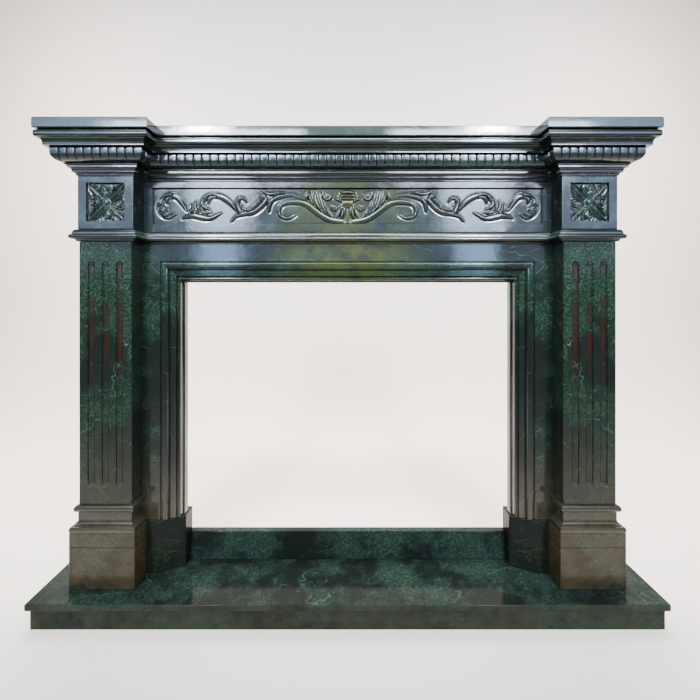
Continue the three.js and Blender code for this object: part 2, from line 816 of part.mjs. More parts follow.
// Lintel, frieze and the centre stretch of the mouldings
const lintelHalf = shaftInner - mortarJoint;
const lintelPanel = stoneBlock(
  -lintelHalf,
  lintelHalf,
  panelBack,
  panelFace,
  neckFoot - architraveTop - mortarJoint,
);
const neckCentre = stack(neckProfile, centrePlan);
const bedCentre = stack(bedProfile, centrePlan);
const reedCentre = stack(reedProfile, reededCentrePlan);
surround.add(
  piece("architrave_head", architraveHead(), "marble", 0, architraveTop - mortarJoint),
  piece("lintel_panel", lintelPanel, "marble", 0, architraveTop),
  piece("neck_moulding_centre", neckCentre, "marble", 0, neckFoot),
  piece("frieze_panel", friezeSlab(), "carved", 0, blockFoot),
  piece("bed_moulding_centre", bedCentre, "marble", 0, bedFoot),
  piece("reeded_moulding_centre", reedCentre, "carved", 0, reedFoot),
);

// Shelf
const underShelf = stack(
  traceProfile(
    underShelfMembers,
    underShelfHeight - mortarJoint,
    underShelfProjection,
    curveSteps,
  ),
  breakfrontPlan,
);
const shelf = stack(easedEdges(shelfThickness, shelfOverhang), breakfrontPlan);
surround.add(
  piece("under_shelf", underShelf, "marble", 0, underShelfFoot),
  piece("shelf", shelf, "marble", 0, shelfFoot),
);

const part = new THREE.Group();
part.add(surround);

export default part;
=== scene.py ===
import json
import math

import bpy
import numpy as np
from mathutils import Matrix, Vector


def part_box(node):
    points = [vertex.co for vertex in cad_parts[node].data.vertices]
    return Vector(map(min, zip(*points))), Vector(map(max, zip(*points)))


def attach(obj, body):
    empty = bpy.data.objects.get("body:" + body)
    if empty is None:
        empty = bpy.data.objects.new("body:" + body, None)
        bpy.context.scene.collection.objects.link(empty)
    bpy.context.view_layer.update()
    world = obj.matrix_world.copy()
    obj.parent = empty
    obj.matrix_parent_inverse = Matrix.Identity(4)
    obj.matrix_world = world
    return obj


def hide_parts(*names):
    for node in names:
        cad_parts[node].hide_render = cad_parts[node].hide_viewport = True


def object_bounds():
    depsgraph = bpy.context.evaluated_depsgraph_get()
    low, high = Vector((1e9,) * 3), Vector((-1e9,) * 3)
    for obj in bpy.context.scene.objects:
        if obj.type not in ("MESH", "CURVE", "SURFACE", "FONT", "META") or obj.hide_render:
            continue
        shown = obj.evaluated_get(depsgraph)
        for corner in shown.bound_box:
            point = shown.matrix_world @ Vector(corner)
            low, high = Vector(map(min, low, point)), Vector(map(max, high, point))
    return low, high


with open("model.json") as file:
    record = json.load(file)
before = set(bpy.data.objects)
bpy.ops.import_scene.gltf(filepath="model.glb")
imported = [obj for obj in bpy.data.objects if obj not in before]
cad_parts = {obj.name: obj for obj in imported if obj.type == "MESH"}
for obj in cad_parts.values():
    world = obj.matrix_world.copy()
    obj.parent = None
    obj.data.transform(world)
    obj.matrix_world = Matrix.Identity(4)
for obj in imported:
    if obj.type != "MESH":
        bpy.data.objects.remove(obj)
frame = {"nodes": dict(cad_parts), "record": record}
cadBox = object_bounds()
print("mantel: loaded", len(frame["nodes"]), "stones")

# Everything below is in metres. A depth is measured from the wall plane towards the room.
mm = 0.001
wallY = cadBox[1].y
joint = 0.4 * mm  # mortar joint between two stones
sides = {"left": -1, "right": 1}


def nodeSpan(node):  # low and high x, low and high z, and the depth of the front
    low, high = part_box(node)
    return low.x, high.x, low.z, high.z, wallY - low.y


shaftLow, shaftHigh, shaftFoot, shaftHead, shaftFront = nodeSpan("fluted_shaft_right")
blockLow, blockHigh = nodeSpan("rosette_block_right")[:2]
plinthLow = nodeSpan("plinth_block_right")[0]
panelFront = nodeSpan("lintel_panel")[4]
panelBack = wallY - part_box("lintel_panel")[1].y
pilasterCentre = (shaftLow + shaftHigh) / 2

# Camera, a little below the head of the opening and square to the front
camera = {"height": 0.951, "distance": 1.3768, "frontPlane": 0.0905, "lens": 21.09}
framing = {"shiftX": 0.0035, "shiftY": -0.0714}

cameraData = bpy.data.cameras.new("camera")
cameraData.lens = camera["lens"]
cameraData.sensor_width = 36
cameraData.shift_x = framing["shiftX"]
cameraData.shift_y = framing["shiftY"]
cameraObject = bpy.data.objects.new("camera", cameraData)
cameraObject.location = (0, camera["frontPlane"] - camera["distance"], camera["height"])
cameraObject.rotation_euler = (math.radians(90), 0, 0)
bpy.context.scene.collection.objects.link(cameraObject)
bpy.context.scene.camera = cameraObject

# Studio: a pale floor that sweeps up behind, and soft panels in front and above
studio = {
    "floorHalf": 14.0, "floorFront": -9.0, "sweepStart": 1.6, "sweepRadius": 1.2, "sweepTop": 9.0,
    "floorColour": (0.80, 0.71, 0.63), "floorRoughness": 0.8,
    "ambient": (0.92, 0.95, 1.0), "ambientStrength": 0.10,
}
softLights = {  # place, what it looks at, width, height, power, colour, spread in degrees
    "window": [(1.36, -3.0, 1.42), (1.36, 0, 1.42), 0.40, 0.45, 8.5, (0.36, 0.62, 1.0), 180],
    "pane": [(1.36, -3.0, 1.95), (1.36, 0, 1.95), 0.62, 0.55, 31, (0.64, 0.80, 1.0), 180],
    "sidePane": [(2.6, -3.0, 2.0), (2.3, 0, 2.0), 0.9, 0.75, 4.2, (0.54, 0.60, 1.0), 140],
    "skylight": [(1.45, -3.0, 2.78), (1.2, 0, 2.3), 0.50, 0.8, 50, (0.80, 0.91, 1.0), 100],
    "core": [(1.48, -2.96, 2.78), (1.2, 0, 2.3), 0.22, 0.6, 55, (1.0, 1.0, 1.0), 100],
    "lowPanel": [(0, -3.05, 1.72), (0, 0, 1.72), 6.4, 0.95, 14.5, (0.54, 0.68, 1.0), 110],
    "middlePanel": [(0, -3.04, 2.7), (0, 0, 2.5), 1.7, 0.9, 9, (0.60, 0.90, 0.88), 100],
    "highPanel": [(2.05, -3.05, 2.75), (1.9, 0, 2.5), 2.4, 0.9, 38, (0.50, 0.69, 1.0), 100],
    "bandPanel": [(1.4, -3.02, 2.42), (1.3, 0, 2.3), 1.9, 0.30, 36, (0.76, 0.85, 1.0), 100],
    "topStrip": [(0, -1.3, 3.3), (0, 0.1, 1.3), 4.6, 0.35, 60, (0.84, 0.92, 1.0), 60],
    "overhead": [(0, 1.4, 3.9), (0, 1.1, 0), 5.0, 2.0, 130, (1.0, 0.93, 0.86), 85],
    "backdropLight": [(2.6, 0.9, 2.6), (2.1, 2.8, 1.5), 1.0, 2.0, 110, (1.0, 0.93, 0.86), 180],
}


def newObject(name, vertices, faces):
    mesh = bpy.data.meshes.new(name)
    mesh.from_pydata([tuple(map(float, v)) for v in vertices], [], faces)
    mesh.validate()
    mesh.update()
    made = bpy.data.objects.new(name, mesh)
    bpy.context.scene.collection.objects.link(made)
    return made


def studioSweep():
    steps = 16
    start, radius = studio["sweepStart"], studio["sweepRadius"]
    rail = [(studio["floorFront"], 0.0)]
    for i in range(steps + 1):
        turn = math.pi / 2 * i / steps
        rail.append((start + radius * math.sin(turn), radius * (1 - math.cos(turn))))
    rail.append((start + radius, studio["sweepTop"]))
    half = studio["floorHalf"]
    vertices = [(x, y, z) for y, z in rail for x in (-half, half)]
    faces = [(2 * i, 2 * i + 1, 2 * i + 3, 2 * i + 2) for i in range(len(rail) - 1)]
    floor = newObject("studioFloor", vertices, faces)
    floor.data.shade_smooth()
    paint = bpy.data.materials.new("studioPaint")
    paint.use_nodes = True
    shader = paint.node_tree.nodes["Principled BSDF"]
    shader.inputs["Base Color"].default_value = (*studio["floorColour"], 1)
    shader.inputs["Roughness"].default_value = studio["floorRoughness"]
    floor.data.materials.append(paint)


def softLight(name, place, aim, width, height, power, colour, spread):
    data = bpy.data.lights.new(name, "AREA")
    data.shape = "RECTANGLE"
    data.size = width
    data.size_y = height
    data.energy = power
    data.color = colour
    data.spread = math.radians(spread)
    lamp = bpy.data.objects.new(name, data)
    lamp.location = place
    lamp.rotation_euler = (Vector(aim) - Vector(place)).to_track_quat("-Z", "Y").to_euler()
    bpy.context.scene.collection.objects.link(lamp)


studioSweep()
for lightName, (place, aim, *lightSettings) in softLights.items():
    if place[0] == 0:
        softLight(lightName, place, aim, *lightSettings)
        continue
    for label, side in sides.items():  # a pair, one on each side
        softLight(lightName + label.capitalize(), (side * place[0], *place[1:]),
                  (side * aim[0], *aim[1:]), *lightSettings)
world = bpy.data.worlds.new("studioAir")
world.use_nodes = True
world.node_tree.nodes["Background"].inputs["Color"].default_value = (*studio["ambient"], 1)
world.node_tree.nodes["Background"].inputs["Strength"].default_value = studio["ambientStrength"]
bpy.context.scene.world = world
print("mantel: studio and camera set")

# Marble. Colours are linear; spacings are the size of the pattern in metres.
verdeMarble = {
    "ground": (0.0045, 0.0065, 0.0055), "cloud": (0.005, 0.011, 0.007), "fleck": (0.014, 0.029, 0.018),
    "glint": (0.090, 0.160, 0.100), "glintAmount": 0.8,
    "vein": (0.08, 0.19, 0.13), "paleVein": (0.30, 0.36, 0.28), "cover": 0.53, "cloudSpacing": 0.15,
    "fleckSpacing": 0.007, "veinSpacing": 0.075, "veinAmount": 0.15, "greener": (0.66, 1.0),
    # warmth: the brown of the painted floor reflection towards the foot
    "warmth": (0.036, 0.029, 0.014), "warmFrom": 0.50, "warmTo": 0.24, "warmAmount": 0.8,
    # hollow: the colour of the painted shade in the carved hollows; a plinth's seam is drawn in it too
    "hollow": (0.017, 0.006, 0.0045), "hollowShadeAmount": 0.75, "hollowShadePatch": (0.40, 0.62),
    "olive": (0.032, 0.037, 0.003), "oliveAmount": 0.0, "roughness": (0.06, 0.15), "shine": 0.5,
    "spots": [], "seam": None,
}
# the carving's hollows take a near-black painted shade
carvedMarble = dict(verdeMarble, ground=(0.007, 0.010, 0.010), cloud=(0.010, 0.021, 0.018),
                    fleck=(0.016, 0.034, 0.028), hollow=(0.002, 0.003, 0.003), hollowShadeAmount=0.95,
                    hollowShadePatch=(-0.2, -0.1), veinAmount=0.1, glintAmount=0.25, roughness=(0.07, 0.18))
plinthMarble = dict(verdeMarble, cloud=(0.02, 0.026, 0.018), cover=0.44, fleck=(0.05, 0.07, 0.05),
                    warmth=(0.037, 0.025, 0.012), warmFrom=0.40, warmTo=0.22, warmAmount=0.9, shine=0.2,
                    hollow=(0.003, 0.003, 0.003), roughness=(0.14, 0.28), veinAmount=0.15,
                    glintAmount=0.3)
hearthMarble = dict(verdeMarble, ground=(0.005, 0.007, 0.006), cloud=(0.008, 0.015, 0.012),
                    fleck=(0.020, 0.037, 0.025), cover=0.44, fleckSpacing=0.008, veinAmount=0.16,
                    warmth=(0.026, 0.026, 0.015), warmFrom=0.0796, warmTo=0.078, shine=0.05)
stoneKinds = {
    "green_marble": verdeMarble, "carved_marble": carvedMarble,
    "plinth_marble": plinthMarble, "hearth_marble": hearthMarble,
}
stoneChanges = {  # single stones, or pairs, that differ from the rest of their kind
    # the inner bases are painted darker and less brown than the rest of their kind: painted shade for
    # blocks that stand in shadow
    "inner_base": {"warmAmount": 0.1, "cloud": (0.004, 0.007, 0.005), "fleck": (0.014, 0.024, 0.016),
                   "shine": 0.06},
    "plinth_block": {"seam": 0.2067},  # height of a natural seam
    "fluted_shaft": {"cover": 0.47, "shine": 0.38, "warmFrom": 0.64, "warmAmount": 0.6,
                     "spots": [(0.69, 0.90, 0.10), (0.76, 1.00, 0.08), (0.71, 0.60, 0.05)]},
    "leg_panel": {"cover": 0.50, "shine": 0.40},
    "lintel_panel": {"oliveAmount": 0.8},
    "frieze_panel": {"oliveAmount": 0.55},
    "architrave_head": {"oliveAmount": 0.5, "shine": 0.22},
    "neck_moulding_centre": {"oliveAmount": 0.5},
}
pattern = {  # shared by all kinds: a patch is its spacing, and where it starts and is full
    "stirScale": 7.0, "stirReach": 0.06, "streakTurn": (0.3, 0.5, 0.2), "streakStretch": (1.0, 1.0, 3.2),
    "neckFade": (1.12, 1.05), "neckGreener": 0.13, "spotGreener": 0.08, "cloudEdge": (-0.04, 0.16),
    "speckEdge": (0.44, 0.66), "glintSpacing": 0.007, "glintEdge": (0.57, 0.68),
    "glintPatch": (0.05, 0.36, 0.60), "vein": (0.0018, 3.8), "veinPatch": (0.07, 0.44, 0.60),
    "wispSpacing": 0.07, "wisp": (0.0015, 3.5), "wispPatch": (0.045, 0.54, 0.64),
    "fineGrain": (0.03, 0.25, 0.75), "wideGrain": (0.18, 0.25, 0.60),
    "oliveReach": (0.30, 0.04), "olivePatch": (0.09, 0.30, 0.55), "hollowShadeRise": (0.58, 0.80),
    "hollowShadeSpacing": 0.10, "seamWaver": 0.008, "seamWidth": (0.0022, 0.0006), "seamDarkness": 0.9,
    "glossSpacing": 0.05, "unpolishedRoughness": 0.8, "rippleSpacing": 0.08, "pitSpacing": 0.006,
    "pitHeight": 0.012, "rippleStrength": 0.10, "rippleDepth": 0.004, "refraction": 1.5,
}


class NodeBench:  # short calls for a node tree
    def __init__(self, material):
        material.use_nodes = True
        self.tree = material.node_tree
        self.shader = self.tree.nodes["Principled BSDF"]

    def add(self, kind, inputs=(), **settings):
        node = self.tree.nodes.new("ShaderNode" + kind)
        for key, value in settings.items():
            setattr(node, key, value)
        for key, value in dict(inputs).items():
            self.put(node.inputs[key], value)
        return node

    def put(self, socket, value):
        if isinstance(value, bpy.types.NodeSocket):
            self.tree.links.new(value, socket)
        elif hasattr(socket.default_value, "__len__") and len(value) == 3 and socket.type == "RGBA":
            socket.default_value = (*value, 1)
        else:
            socket.default_value = value

    def ramp(self, factor, low, high):  # 0 at low, 1 at high, smooth between
        node = self.add("MapRange", {"Value": factor, "From Min": low, "From Max": high},
                        interpolation_type="SMOOTHSTEP")
        return node.outputs["Result"]

    def mix(self, factor, first, second):
        node = self.add("Mix", data_type="RGBA")
        self.put(node.inputs[0], factor)
        self.put(node.inputs[6], first)
        self.put(node.inputs[7], second)
        return node.outputs[2]

    def times(self, first, second):
        node = self.add("Math", operation="MULTIPLY")
        self.put(node.inputs[0], first)
        self.put(node.inputs[1], second)
        return node.outputs[0]

    def plus(self, first, second):
        return self.add("Math", {0: first, 1: second}, operation="ADD").outputs[0]

    def noise(self, place, spacing, detail=5.0, roughness=0.6):
        return self.add("TexNoise", {"Vector": place, "Scale": 1 / spacing, "Detail": detail,
                                     "Roughness": roughness}).outputs[0]

    def thread(self, place, spacing, width, wander):  # thin flowing lines
        wave = self.add("TexWave", {"Vector": place, "Scale": 0.36 / spacing, "Distortion": wander,
                                    "Detail": 3.0, "Detail Scale": 1.3, "Detail Roughness": 0.55},
                        bands_direction="DIAGONAL")
        return self.ramp(wave.outputs["Fac"], 1 - width, 1.0)

    def size(self, value):
        return self.add("Math", {0: value}, operation="ABSOLUTE").outputs[0]

    def patches(self, place, spacing, low, high):
        return self.ramp(self.noise(place, spacing, 4.0), low, high)


def blockPlaces(bench, shift, turn, mirrored):  # where a point lies in the block it was cut from
    axes = bench.add("SeparateXYZ", {0: bench.add("TexCoord").outputs["Object"]}).outputs
    across, up = bench.size(axes["X"]), axes["Z"]
    where = bench.add("CombineXYZ", {"X": across if mirrored else axes["X"], "Y": axes["Y"],
                                     "Z": up}).outputs[0]
    own = bench.add("Mapping", {"Vector": where, "Location": shift, "Rotation": turn}).outputs[0]
    # the pattern is stirred so that no vein runs straight
    stir = bench.add("TexNoise", {"Vector": own, "Scale": pattern["stirScale"], "Detail": 3.0})
    offset = bench.add("VectorMath", {0: stir.outputs["Color"], 1: (0.5, 0.5, 0.5)},
                       operation="SUBTRACT").outputs[0]
    swing = bench.add("VectorMath", {0: offset, "Scale": pattern["stirReach"]},
                      operation="SCALE").outputs[0]
    bent = bench.add("VectorMath", {0: own, 1: swing}, operation="ADD").outputs[0]
    streaked = bench.add("Mapping", {"Vector": bent, "Rotation": pattern["streakTurn"],
                                     "Scale": pattern["streakStretch"]}).outputs[0]
    return {"across": across, "up": up, "where": where, "own": own, "bent": bent, "streaked": streaked}


def greenClouds(bench, stone, at):  # more of them towards the neck, made up of small flecks
    cloud = bench.noise(at["bent"], stone["cloudSpacing"], 9.0, 0.70)
    neck = bench.times(bench.ramp(at["up"], *stone["greener"]),
                       bench.ramp(at["up"], *pattern["neckFade"]))
    cloud = bench.plus(cloud, bench.times(neck, pattern["neckGreener"]))
    for spotX, spotZ, spotSize in stone["spots"]:
        away = bench.add("VectorMath", {0: at["where"], 1: (spotX, wallY - shaftFront, spotZ)},
                         operation="DISTANCE").outputs["Value"]
        spot = bench.ramp(away, spotSize, spotSize * 0.3)
        cloud = bench.plus(cloud, bench.times(spot, pattern["spotGreener"]))
    thin, thick = pattern["cloudEdge"]
    cloudHere = bench.ramp(cloud, stone["cover"] + thin, stone["cover"] + thick)
    colour = bench.mix(cloudHere, stone["ground"], stone["cloud"])
    speck = bench.ramp(bench.noise(at["bent"], stone["fleckSpacing"], 6.0, 0.75), *pattern["speckEdge"])
    colour = bench.mix(bench.times(cloudHere, speck), colour, stone["fleck"])
    glint = bench.ramp(bench.noise(at["streaked"], pattern["glintSpacing"], 6.0, 0.75),
                       *pattern["glintEdge"])
    glint = bench.times(glint, bench.patches(at["own"], *pattern["glintPatch"]))
    return bench.mix(bench.times(bench.times(cloudHere, glint), stone["glintAmount"]), colour,
                     stone["glint"])


def veins(bench, stone, at, colour):  # veins and short pale wisps
    vein = bench.times(bench.thread(at["bent"], stone["veinSpacing"], *pattern["vein"]),
                       bench.patches(at["own"], *pattern["veinPatch"]))
    colour = bench.mix(bench.times(vein, stone["veinAmount"]), colour, stone["vein"])
    wisp = bench.times(bench.thread(at["streaked"], pattern["wispSpacing"], *pattern["wisp"]),
                       bench.patches(at["own"], *pattern["wispPatch"]))
    return bench.mix(bench.times(wisp, stone["veinAmount"]), colour, stone["paleVein"])


def stainsAndHollowShade(bench, stone, at, colour):
    # painted reflection of the warm floor: brown towards the foot, broken up by grain
    low = bench.times(bench.ramp(at["up"], stone["warmFrom"], stone["warmTo"]), stone["warmAmount"])
    grain = bench.plus(bench.patches(at["own"], *pattern["fineGrain"]),
                       bench.patches(at["own"], *pattern["wideGrain"]))
    colour = bench.mix(bench.times(low, bench.times(grain, 0.5)), colour, stone["warmth"])
    # olive at the middle of the lintel and the frieze
    olive = bench.times(bench.ramp(at["across"], *pattern["oliveReach"]),
                        bench.patches(at["own"], *pattern["olivePatch"]))
    colour = bench.mix(bench.times(olive, stone["oliveAmount"]), colour, stone["olive"])
    # painted shade in the carved hollows: the deeper a point lies below what is round it, the darker;
    # near black in the carving, red-brown in the upper part of the flutes
    hollow = bench.add("Attribute", attribute_name="hollow").outputs["Fac"]
    hollow = bench.times(bench.times(hollow, bench.ramp(at["up"], *pattern["hollowShadeRise"])),
                         bench.patches(at["streaked"], pattern["hollowShadeSpacing"], *stone["hollowShadePatch"]))
    return bench.mix(bench.times(hollow, stone["hollowShadeAmount"]), colour, stone["hollow"])


def seam(bench, stone, at, colour):  # a natural seam that runs level across a plinth
    waver = bench.times(bench.plus(bench.noise(at["own"], 0.05, 3.0), -0.5), pattern["seamWaver"])
    away = bench.add("Math", {0: bench.plus(at["up"], waver), 1: stone["seam"]},
                     operation="SUBTRACT").outputs[0]
    here = bench.ramp(bench.size(away), *pattern["seamWidth"])
    return bench.mix(bench.times(here, pattern["seamDarkness"]), colour, stone["hollow"])


def polish(bench, stone, at):
    smooth, dull = stone["roughness"]
    gloss = bench.add("MapRange", {"Value": bench.noise(at["own"], pattern["glossSpacing"]),
                                   "From Min": 0.3, "From Max": 0.7,
                                   "To Min": smooth, "To Max": dull}).outputs["Result"]
    unpolished = bench.add("Attribute", attribute_name="unpolished").outputs["Fac"]
    unpolished = bench.times(unpolished, pattern["unpolishedRoughness"])
    bench.put(bench.shader.inputs["Roughness"], bench.plus(gloss, unpolished))
    bench.shader.inputs["IOR"].default_value = pattern["refraction"]
    bench.shader.inputs["Specular IOR Level"].default_value = stone["shine"]
    pits = bench.times(bench.noise(at["own"], pattern["pitSpacing"]), pattern["pitHeight"])
    ripple = bench.plus(bench.noise(at["own"], pattern["rippleSpacing"], 3.0), pits)
    bump = bench.add("Bump", {"Strength": pattern["rippleStrength"],
                              "Distance": pattern["rippleDepth"], "Height": ripple})
    bench.put(bench.shader.inputs["Normal"], bump.outputs[0])


def marble(name, stone, shift, turn, mirrored):
    material = bpy.data.materials.new(name)
    bench = NodeBench(material)
    at = blockPlaces(bench, shift, turn, mirrored)
    colour = greenClouds(bench, stone, at)
    colour = veins(bench, stone, at, colour)
    colour = stainsAndHollowShade(bench, stone, at, colour)
    if stone["seam"]:
        colour = seam(bench, stone, at, colour)
    bench.put(bench.shader.inputs["Base Color"], colour)
    polish(bench, stone, at)
    return material


# Each stone is cut from another place in the block, so the veins break at every joint.
stoneSlot = {part["node"]: part["material_slot"] for part in frame["record"]["subparts"]}


def finishStone(stone, node, sharpAngle=32):
    order = sorted(stoneSlot).index(node.replace("_left", "_right"))
    shift = (1.7 * order % 5.3, 2.9 * order % 4.1, 0.0)
    turn = (0.3 * (order % 5), 0.5 + 0.4 * (order % 3), 0.35 * (order % 7))
    slotName = stoneSlot[node]
    stone.data.materials.clear()
    plainName = node.removesuffix("_left").removesuffix("_right")
    kind = {**stoneKinds[slotName], **stoneChanges.get(plainName, {})}
    paired = plainName != node  # left and right stones are book-matched
    stone.data.materials.append(marble(slotName + "_" + node, kind, shift, turn, paired))
    stone.data.polygons.foreach_set("use_smooth", [True] * len(stone.data.polygons))
    stone.data.set_sharp_from_angle(angle=math.radians(sharpAngle))
    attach(stone, "root")
    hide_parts(node)


def easeArris(stone, width, segments=2, angle=40):  # the small rounding of a worked edge
    bevel = stone.modifiers.new("arris", "BEVEL")
    bevel.width = width
    bevel.segments = segments
    bevel.limit_method = "ANGLE"
    bevel.angle_limit = math.radians(angle)
    bevel.harden_normals = True


# Plain blocks and slabs, from the plan of each
arris = {"block": 2.2 * mm, "slab": 3.0 * mm, "panel": 1.0 * mm}


def outwardFaces(vertices, faces):  # turns all faces round if the body is inside out
    corners = np.array(vertices, float)
    volume = sum(float(np.dot(corners[f[0]], np.cross(corners[f[i]], corners[f[i + 1]])))
                 for f in faces for i in range(1, len(f) - 1))
    return faces if volume > 0 else [tuple(reversed(f)) for f in faces]


def loftRings(name, rings):  # rings of equal count, joined in turn and closed at both ends
    count = len(rings[0])
    vertices = [corner for ring in rings for corner in ring]
    last = (len(rings) - 1) * count
    faces = [tuple(range(count)), tuple(last + i for i in reversed(range(count)))]
    for start in range(0, last, count):
        for i in range(count):
            a, b = start + i, start + (i + 1) % count
            faces.append((a, a + count, b + count, b))
    return newObject(name, vertices, outwardFaces(vertices, faces))


def prism(name, plan, low, high):  # plan points are x and depth from the wall
    return loftRings(name, [[(x, wallY - depth, z) for x, depth in plan] for z in (low, high)])


def plainStone(node, width, plan=None):
    low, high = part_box(node)
    plan = plan or [(low.x, wallY - low.y), (high.x, wallY - low.y),
                    (high.x, wallY - high.y), (low.x, wallY - high.y)]
    stone = prism(node + "_stone", plan, low.z, high.z)
    easeArris(stone, width, 3)
    finishStone(stone, node)


plainStone("hearth_base", arris["block"])
plainStone("hearth_slab", arris["slab"])
plainStone("hearth_upstand", arris["slab"])
plainStone("lintel_panel", arris["panel"])
for label in sides:
    plainStone("plinth_block_" + label, arris["block"])
    plainStone("leg_panel_" + label, arris["panel"])

# The blocks under the architrave's legs have a splay towards the fire
splay = {"margin": 4 * mm, "fall": 36 * mm, "architraveWidth": 66 * mm}
openingHalf = abs(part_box("architrave_right")[0].x)
architraveOuter = openingHalf + splay["architraveWidth"]
for label, side in sides.items():
    jamb = openingHalf - splay["margin"]
    front = panelFront + splay["margin"]
    outer = plinthLow - joint
    plainStone("inner_base_" + label, arris["block"], [
        (side * outer, 0), (side * outer, front), (side * (architraveOuter + splay["margin"]), front),
        (side * jamb, front - splay["fall"]), (side * jamb, 0)])
print("mantel: plain blocks and slabs cut")

# Mouldings, listed from the foot up: kind, height, projection it ends at, and a bead's bulge (mm)
mouldings = {
    "base": [("bead", 18, 16.5, 2.5), ("fillet", 3, 9), ("cove", 15, 1.5), ("fillet", 22, 1.5),
             ("bead", 22, 1.5, 9)],
    "neck": [("fillet", 2, 3), ("cove", 5, 12), ("bead", 14, 12, 5.4), ("fillet", 2, 11),
             ("ovolo", 14, 1)],
    "bed": [("fillet", 3, 3), ("cove", 6, 10), ("fillet", 5, 11), ("cove", 7, 19),
            ("fillet", 6, 20), ("bead", 6, 22, 3)],
    "reed": [("start", 0, 28), ("ovolo", 22, 50), ("fillet", 16, 50)],
    "underShelf": [("fillet", 2, 62), ("cove", 19, 70), ("bead", 18, 75, 3), ("fillet", 5, 70)],
    "shelf": [("start", 0, 77.5), ("ovolo", 2.5, 80), ("fillet", 26, 80), ("cove", 2.5, 77.5)],
    "architrave": [("fillet", 3, -4), ("ovolo", 6, 1), ("fillet", 13, 1), ("ovolo", 4, -11),
                   ("fillet", 20, -12), ("cove", 4, -20), ("bead", 8, -20, 3), ("cove", 8, -36)],
}
curveSteps = 8


def traceMoulding(members, fullHeight):  # points of projection and height, in metres
    scale = fullHeight / sum(member[1] for member in members)
    points = []
    out, height = members[0][2] * mm, 0.0

    def put(o, h):
        if not points or math.dist(points[-1], (o, h)) > 0.05 * mm:
            points.append((o, h))

    for kind, memberHeight, memberOut, *bulge in members:
        rise, target = memberHeight * scale, memberOut * mm
        if kind in ("start", "fillet"):
            put(target, height)
            put(target, height + rise)
        elif kind == "bead":
            for i in range(2 * curveSteps + 1):
                turn = math.pi * i / (2 * curveSteps)
                swell = bulge[0] * mm * math.sin(turn)
                put(target + swell, height + rise * (1 - math.cos(turn)) / 2)
        else:
            swellsFirst = (kind == "ovolo") == (target > out)
            for i in range(curveSteps + 1):
                turn = math.pi / 2 * i / curveSteps
                early, late = math.sin(turn), 1 - math.cos(turn)
                across, up = (early, late) if swellsFirst else (late, early)
                put(out + (target - out) * across, height + rise * up)
        out, height = target, height + rise
    return points


def stackPlans(name, profile, foot, planAt):
    rings = [[(x, wallY - depth, foot + height) for x, depth in planAt(out, height)]
             for out, height in profile]
    return loftRings(name, rings)


def pilasterPlan(side, halfWidth, mitred):
    def plan(out, height):
        def returnDepth(o):
            return panelFront + (o if mitred else joint)
        points = [(halfWidth + out, 0), (halfWidth + out, shaftFront + out),
                  (-halfWidth - out, shaftFront + out), (-halfWidth - out, returnDepth(out)),
                  (-halfWidth, returnDepth(0)), (-halfWidth, 0)]
        return [(side * (pilasterCentre + across), depth) for across, depth in points]
    return plan


def centrePlan(out, height):
    end = blockLow - joint
    return [(-(end - out), panelFront + out), (end - out, panelFront + out), (end, panelFront),
            (end, panelBack), (-end, panelBack), (-end, panelFront)]


def breakfrontPlan(out, height):
    outer, inner = blockHigh + out, blockLow - out
    return [(-outer, 0), (-outer, shaftFront + out), (-inner, shaftFront + out),
            (-inner, panelFront + out), (inner, panelFront + out), (inner, shaftFront + out),
            (outer, shaftFront + out), (outer, 0)]


mouldArris = 0.7 * mm


def mouldedStone(node, kind, planAt):
    low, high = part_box(node)
    stone = stackPlans(node + "_stone", traceMoulding(mouldings[kind], high.z - low.z), low.z, planAt)
    easeArris(stone, mouldArris)
    finishStone(stone, node)


shaftHalf = (shaftHigh - shaftLow) / 2
blockHalf = (blockHigh - blockLow) / 2
for label, side in sides.items():
    mouldedStone("base_moulding_" + label, "base", pilasterPlan(side, shaftHalf, False))
    mouldedStone("neck_moulding_" + label, "neck", pilasterPlan(side, blockHalf, True))
    mouldedStone("bed_moulding_" + label, "bed", pilasterPlan(side, blockHalf, True))
mouldedStone("neck_moulding_centre", "neck", centrePlan)
mouldedStone("bed_moulding_centre", "bed", centrePlan)
mouldedStone("under_shelf", "underShelf", breakfrontPlan)
mouldedStone("shelf", "shelf", breakfrontPlan)
print("mantel: mouldings run")

# Architrave: three lengths mitred together round the opening
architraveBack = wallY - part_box("architrave_head")[1].y


def architraveSection():
    front = [(height, panelFront + out)
             for out, height in traceMoulding(mouldings["architrave"], splay["architraveWidth"])]
    width = splay["architraveWidth"]
    return [*front, (width, architraveBack), (0, architraveBack)]


section = architraveSection()
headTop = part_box("architrave_head")[1].z
for label, side in sides.items():
    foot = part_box("architrave_" + label)[0].z
    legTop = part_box("architrave_" + label)[1].z
    rings = [[(side * (architraveOuter - across), wallY - depth, foot) for across, depth in section],
             [(side * (architraveOuter - across), wallY - depth, legTop - across)
              for across, depth in section]]
    leg = loftRings("architrave_" + label + "_stone", rings)
    easeArris(leg, mouldArris)
    finishStone(leg, "architrave_" + label)
head = loftRings("architrave_head_stone", [
    [(end * (architraveOuter - across), wallY - depth, headTop - across) for across, depth in section]
    for end in (-1, 1)])
easeArris(head, mouldArris)
finishStone(head, "architrave_head")
print("mantel: architrave mitred")

# Reeded ovolo: rounded tongues parted by grooves, every second groove running down the curve
reeds = {"pitch": 25.5 * mm, "groove": 1.5 * mm, "depth": 4.0 * mm, "crown": 0.5 * mm,
         "fadeHeight": 11 * mm, "pointsEach": 24, "projection": 50 * mm}


